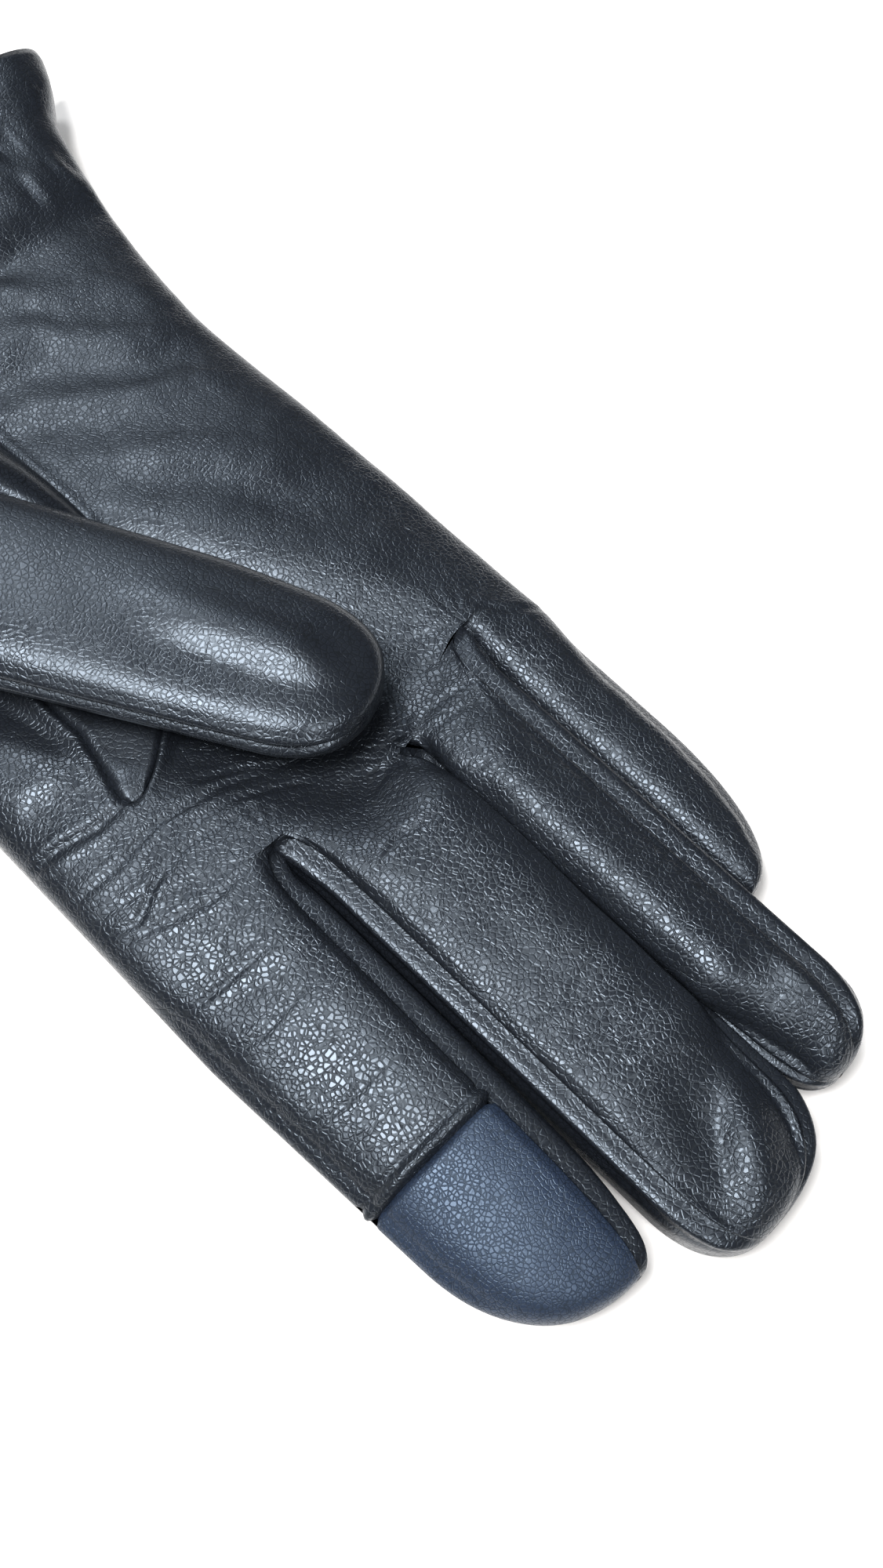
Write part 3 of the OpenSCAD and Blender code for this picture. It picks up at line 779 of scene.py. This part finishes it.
def gussetSheet():
    # Tongue of the thumb piece: rows between its two sides, tucked down at the edge and domed inside
    y = np.concatenate([np.linspace(-26, 12.5, 100), np.linspace(12.5, 17.85, 40)[1:]])[:, None]
    across = (1 - np.cos(np.linspace(0, math.pi, 70)))[None, :] / 2
    left = np.interp(y, gussetEdge["y"], gussetEdge["left"])
    right = np.interp(y, gussetEdge["y"], gussetEdge["right"])
    x = mix(left, right, across)
    inside = np.maximum(insideGusset(x, y), 0)
    xs = np.clip(np.abs(x) / handHalf, 0, 1)
    top = handTop / 2 * (1 + (1 - xs ** handKnobs["power"]) ** (1 / handKnobs["power"]))
    z = top - 1.0 + 1.05 * roundOff(inside / 1.8) + 0.25 * bell(x - 26, 2.4) * bell(y - 14.2, 2.6)
    z = z + 0.08 * softNoise(x, y, 4, 31)
    return np.stack(np.broadcast_arrays(x, y, z), -1)


gusset = makeSheet("thumbGusset", gussetSheet(), blackLeather, flip=True, grain=0.4)
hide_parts("thumb_gusset")
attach(gusset, "hand")
print("hand leather made")


def hemSheet():
    # Leather folded back inside the cuff: a ring from the fold to its stitched edge
    phi = evenAngles(0, 2 * math.pi, handHalf, handTop / 2, handKnobs["power"], 421)[0][None, :-1]
    rows = np.linspace(0, 1, 40)[:, None]
    y = cuffY + mix(0.0, 17.5, rows)
    inset = 1.28 + 0.35 * bell(rows - 1, 0.05) + 0.5 * ease(rows / 0.1) - 0.2 * bell(rows - 0.9, 0.03)
    return handPoint(phi, y, inset)


hem = makeSheet("cuffHem", hemSheet(), blackLeather, flip=True, closed=True, grain=0.5)
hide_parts("cuff_hem")
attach(hem, "hand")

liningKnobs = {"inset": 2.3, "start": 16.0, "end": 26.0, "ripple": 0.25, "fingerInset": 2.6,
               "thumbInset": 2.2}
for label, a0, a1 in (("palm", 0.0, math.pi), ("back", -math.pi, 0.0)):
    phi = evenAngles(a0, a1, handHalf, handTop / 2, handKnobs["power"], 160)[0][None, :]
    y = np.linspace(cuffY + liningKnobs["start"], liningKnobs["end"], 200)[:, None]
    points = handPoint(phi, y, liningKnobs["inset"])
    if label == "palm":
        shade = relief(points[..., 0], points[..., 1]) * ease((points[..., 2] - handHeight(y) * 0.5) / 4)
        points[..., 2] += np.minimum(shade, 0)
    ripple = liningKnobs["ripple"] * softNoise(points[..., 0], y, 7, 41)
    points[..., 2] += ripple if label == "back" else -ripple
    sheet = makeSheet(label + "Lining", points, liningKnit)
    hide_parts(label + "_lining")
    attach(sheet, "hand")

elasticLow, elasticHigh = boxOf("wrist_elastic")
elasticKnobs = {"inset": 2.0, "wave": 0.12, "pitch": 1.9635}   # pitch: mm from one small wave to the next
phi = np.radians(np.linspace(50, 130, 240))[None, :]
y = np.linspace(elasticLow[1], elasticHigh[1], 18)[:, None]
points = handPoint(phi, y, elasticKnobs["inset"])
wave = elasticKnobs["wave"] * np.sin(points[..., 0] * 2 * math.pi / elasticKnobs["pitch"])
points[..., 2] += np.minimum(relief(points[..., 0], points[..., 1]), 0) + wave
elastic = makeSheet("wristElastic", points, elasticWeave)
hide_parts("wrist_elastic")
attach(elastic, "hand")

labelLow, labelHigh = boxOf("size_label")
x = np.linspace(labelLow[0], labelHigh[0], 60)[None, :]
y = np.linspace(labelLow[1], labelHigh[1], 36)[:, None]
z = labelHigh[2] + 0.1 + 0.15 * np.sin(x * 0.35) * np.cos(y * 0.3)
points = np.stack(np.broadcast_arrays(x, y, z), -1)
blankLabel = makeSheet("sizeLabel", points, labelSatin, flip=True)
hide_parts("size_label")
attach(blankLabel, "hand")
print("inside of the cuff made")


# Where the leather bends at each knuckle, as y from the hand's end of the bend to the finger's
knuckleZone = {"index": (39, 55), "middle": (41.5, 57), "ring": (41, 57), "little": (32.5, 47)}
bendHalf = {"index": 11, "middle": 11, "ring": 11, "little": 9}   # mm each side of the middle joint
patchY = boxOf("touch_tip")[0][1]


def titled(words):  # "ring_b" to "RingB"
    return "".join(word.title() for word in words.split("_"))


def placeOnFinger(piece, part, node):  # hide the CAD part it replaces and bake the piece's transform into its mesh
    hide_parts(f"{node}_{part}")
    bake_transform(piece)


for name, f in fingers.items():
    f["knuckleBend"] = knuckleZone[name]
    bend0, bend1 = f["bend"][1] - bendHalf[name], f["bend"][1] + bendHalf[name]
    split = max(knuckleZone[name][1], (knuckleZone[name][1] + bend0) / 2)
    f["middleBend"] = (max(bend0, split), bend1)

    for side, upper in (("front", True), ("back", False)):
        first = fingerStrip(f, upper, None, split)
        piece = makeSheet(f"{name}{side.title()}Lower", first, blackLeather, flip=upper)
        placeOnFinger(piece, "lower", f"{name}_{side}")
        end = patchY if name == "index" and upper else f["tip"]
        second = fingerStrip(f, upper, split, end)
        if end == patchY:   # turned edge of the leather where the touch patch is sewn on
            toEdge = second[..., 1] - patchY
            fold = 0.5 * bell(toEdge + 1.1, 0.8) - 0.35 * bell(toEdge + 2.6, 0.5) - 0.9 * bell(toEdge, 0.4)
            second = second + radial(second, f) * fold[..., None]
        piece = makeSheet(f"{name}{side.title()}Upper", second, blackLeather, flip=upper)
        placeOnFinger(piece, "upper", f"{name}_{side}")
    for wallName, wall in wallKnobs.items():
        if wallName.split("_")[0] != name:
            continue
        for part, y0, y1 in (("lower", None, split), ("upper", split, f["tip"])):
            points = fourchetteStrip(f, wall, y0, y1)
            piece = makeSheet("fourchette" + titled(wallName) + part.title(), points, blackLeather,
                              flip=wall["side"] > 0, grain=0.6)
            placeOnFinger(piece, part, "fourchette_" + wallName)
    for part, y0, y1 in (("lower", f["root"] + 6, split), ("upper", split, f["tip"] - 5)):
        phi = evenAngles(0, 2 * math.pi, f["left"], f["top"] / 2, fingerPower, 97)[0][None, :-1]
        tube = fingerPoint(f, phi, np.linspace(y0, y1, 60)[:, None], liningKnobs["fingerInset"])
        piece = makeSheet(f"{name}Lining{part.title()}", tube, liningKnit, closed=True)
        placeOnFinger(piece, part, f"{name}_lining")

index = fingers["index"]
points = fingerStrip(index, True, patchY, index["tip"])
edge = 0.18 - 1.1 * bell(points[..., 1] - patchY, 0.5)     # stands proud, and tucks in along its sewn edge
edge = edge * ease((index["tip"] - points[..., 1]) / 3)
points = points + radial(points, index) * edge[..., None]
touch = makeSheet("touchTip", points, touchLeather, flip=True, grain=0.9)
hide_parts("touch_tip")
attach(touch, "index_upper")
print("fingers made")


def thumbPoint(phi, s, inset=0):  # oval section carried along the thumb's line, rounded at its tip
    length = thumbTip - inset
    capT = np.clip((s - length + 15) / 15, 0, 1)
    narrow = (1 - capT ** 2.3) ** (1 / 2.3)
    x, z = ovalPoint(phi, thumbKnobs["power"])
    wide = thumbKnobs["width"] - thumbKnobs["narrowing"] * np.clip(s / 62, 0, 1)
    half = wide / 2 * narrow - inset * np.minimum(1, narrow * 3)
    half = half * np.where(x < 0, 1 - thumbKnobs["tipTaper"] * ease((s - 38) / 30), 1)
    tall = mix(thumbHigh, thumbHigh - 1.5, np.clip(s / thumbTip, 0, 1))
    high = tall * (0.3 + 0.7 * narrow) - 2 * inset
    base = thumbFloor + inset + (1 - narrow) * thumbHigh * 0.25
    across = x * half
    px = thumbRoot[0] + thumbWay[0] * s + thumbSide[0] * across
    py = thumbRoot[1] + thumbWay[1] * s + thumbSide[1] * across
    return np.stack(np.broadcast_arrays(px, py, base + high / 2 * (1 + z)), -1)


def thumbStrip(a0, a1, s0, s1):
    # Half of the thumb's oval between two seams, rolled and grooved beside each, with soft hollows
    wide = thumbKnobs["width"] / 2
    ends = (math.radians(a0), math.radians(a1))
    phi, length = evenAngles(*ends, wide, thumbHigh / 2, thumbKnobs["power"], 100)
    count = int((s1 - s0) / 0.45) + 2
    rows = np.linspace(0, 1, count)
    if s1 > thumbTip - 1:
        start = (thumbTip - 12 - s0) / (s1 - s0)
        rows = np.concatenate([np.linspace(0, start, int(count * start) + 2)[:-1],
                               start + (1 - start) * np.sin(np.linspace(0, math.pi / 2, 52))])
    s = mix(s0, s1, rows)[:, None]
    points = thumbPoint(phi[None, :], s)
    middle = thumbPoint(np.array([[math.pi / 2]]), s)
    middle[..., 2] = thumbFloor + thumbHigh * 0.45
    way = points - middle
    way = way / np.maximum(np.linalg.norm(way, axis=2, keepdims=True), 1e-6)
    u = np.linspace(0, length, len(phi))[None, :]
    d = np.minimum(u, length - u)
    narrow = np.clip((thumbTip - s) / 5, 0, 1)
    lift = (-1.0 * bell(d, 0.6) + 0.42 * bell(d - 1.5, 0.8)) * ease(narrow + 0.3)
    if a0 < 90:
        across = np.cos(phi)[None, :] * wide
        soft = 0.35 * softNoise(across, s, 11, 51) + 0.12 * softNoise(across, s, 5, 52)
        ridge = thumbKnobs["ridge"] * bell(across + 7 - s * 0.11, 5)
        ridge = ridge - thumbKnobs["hollow"] * bell(across - 6, 4)
        soft = 0.35 * soft + ridge * ease((s - 22) / 24) * ease((69 - s) / 12)
        lift = lift + soft * ease(d / 3) * ease(narrow)
    else:
        lift = lift + 0.45 * bell(d - 0.9, 0.35) * ease(narrow)
    return points + way * lift[..., None]


def placeOnThumb(piece, part, node):  # hide the CAD part it replaces and bake the piece's transform into its mesh
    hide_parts(f"{node}_{part}")
    if part == "lower":
        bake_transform(piece)
    else:
        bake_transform(piece)


near, far, joint = thumbKnobs["seam"], thumbKnobs["farSeam"], thumbKnobs["joint"]
for label, a0, a1 in (("Top", near, far), ("Under", far, 360 + near)):
    for part, s0, s1 in (("lower", -2.0, joint), ("upper", joint, thumbTip)):
        points = thumbStrip(a0, a1, s0, s1)
        piece = makeSheet(f"thumb{label}{part.title()}", points, blackLeather, grain=0.5)
        placeOnThumb(piece, part, "thumb_" + label.lower())

# The oval rim that the thumb's base rises from: its middle, half widths and height on the palm
baseKnobs = {"middle": (15, -28), "half": (15.5, 37), "z": 13.2, "fold": 0.5}


def thumbBase():
    # Quarter ellipses from an oval rim on the palm up to the thumb's root
    across = np.linspace(0, 1, 200)[None, :]
    rise = np.linspace(0, 1, 90)[:, None]
    a = np.radians(mix(-18, 198, across))
    (x, y), (wide, long) = baseKnobs["middle"], baseKnobs["half"]
    rim = np.stack([x + wide * np.cos(a), y - long * np.sin(a), np.full(a.shape, baseKnobs["z"])], -1)
    phi = np.radians(mix(-8, 188, across))
    top = thumbPoint(phi, -2.0)
    up = np.sin(rise * math.pi / 2)
    run = 1 - np.cos(rise * math.pi / 2)
    flat = mix(rim[..., :2], top[..., :2], run[..., None])
    z = mix(rim[..., 2], top[..., 2], up)
    folds = baseKnobs["fold"] * softNoise(across * 60, rise * 8, 5, 61) * np.sin(rise * math.pi)
    points = np.concatenate([flat, z[..., None]], -1)
    return points + normalsOf(points) * folds[..., None]


base = makeSheet("thumbBase", thumbBase(), blackLeather, grain=0.3)
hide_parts("thumb_base")
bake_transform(base)
for part, s0, s1 in (("lower", 3, joint), ("upper", joint, thumbTip - 5)):
    phi = evenAngles(0, 2 * math.pi, 15, thumbHigh / 2, thumbKnobs["power"], 97)[0][None, :-1]
    tube = thumbPoint(phi, np.linspace(s0, s1, 60)[:, None], liningKnobs["thumbInset"])
    piece = makeSheet(f"thumbLining{part.title()}", tube, liningKnit, closed=True)
    placeOnThumb(piece, part, "thumb_lining")
print("thumb made")


studioKnobs = {
    "floorTone": (0.95, 0.93, 0.91),
    "floorHalf": 3,           # metres from its middle to its edge
    "floorZ": -0.0003,
    "roomTone": (0.88, 0.93, 1.0),
    "roomLight": 0.06,
}
half, z = studioKnobs["floorHalf"], studioKnobs["floorZ"]
floorMesh = bpy.data.meshes.new("studioFloor")
corners = [(-half, -half, z), (half, -half, z), (half, half, z), (-half, half, z)]
floorMesh.from_pydata(corners, [], [(0, 1, 2, 3)])
studioFloor = bpy.data.objects.new("studioFloor", floorMesh)
bpy.context.scene.collection.objects.link(studioFloor)
floorPaint = bpy.data.materials.new("floorPaint")
floorPaint.use_nodes = True
floorShader = floorPaint.node_tree.nodes["Principled BSDF"]
floorShader.inputs["Base Color"].default_value = (*studioKnobs["floorTone"], 1)
floorShader.inputs["Roughness"].default_value = 1.0
floorMesh.materials.append(floorPaint)

lights = {  # name: where it stands, where it aims, size, power, colour
    "overhead": ((-0.24, -0.74, 0.76), (0, -0.04, 0.01), 0.90, 3.0, (0.86, 0.93, 1.0)),
    "key": ((0.26, -0.03, 0.81), (0.01, 0.05, 0.01), 0.36, 12.0, (1.0, 1.0, 1.0)),
    "tipSide": ((0.06, 0.52, 0.66), (0, 0.10, 0.01), 0.24, 3.2, (1.0, 1.0, 1.0)),
    "cuffSide": ((-0.12, -0.62, 0.80), (-0.02, -0.08, 0.01), 0.20, 3.0, (0.97, 0.985, 1.0)),
}
for name, (spot, aim, size, power, colour) in lights.items():
    lamp = bpy.data.lights.new(name, "AREA")
    lamp.shape = "DISK"
    lamp.size = size
    lamp.energy = power
    lamp.color = colour
    holder = bpy.data.objects.new(name, lamp)
    holder.location = spot
    holder.rotation_euler = (Vector(aim) - Vector(spot)).to_track_quat("-Z", "Y").to_euler()
    bpy.context.scene.collection.objects.link(holder)

world = bpy.data.worlds.new("softRoom")
world.use_nodes = True
room = world.node_tree.nodes["Background"]
room.inputs["Color"].default_value = (*studioKnobs["roomTone"], 1)
room.inputs["Strength"].default_value = studioKnobs["roomLight"]
bpy.context.scene.world = world
bpy.context.scene.view_settings.view_transform = "Standard"

cameraKnobs = {
    "lens": 39.6,
    "sensor": 36,
    "stands": (0.0689, 0.1265, 0.250),
    "right": (-0.7133, 0.7009, 0),
    "ahead": (-0.2962, -0.3015, -0.9063),
    "nearest": 0.01,
}
cameraData = bpy.data.cameras.new("camera")
cameraData.lens = cameraKnobs["lens"]
cameraData.sensor_width = cameraKnobs["sensor"]
cameraData.clip_start = cameraKnobs["nearest"]
camera = bpy.data.objects.new("camera", cameraData)
right = Vector(cameraKnobs["right"])
ahead = Vector(cameraKnobs["ahead"])
upWay = right.cross(ahead)
turned = Matrix((right, upWay, -ahead)).transposed().to_4x4()
camera.matrix_world = Matrix.Translation(cameraKnobs["stands"]) @ turned
bpy.context.scene.collection.objects.link(camera)
bpy.context.scene.camera = camera
print("studio made")
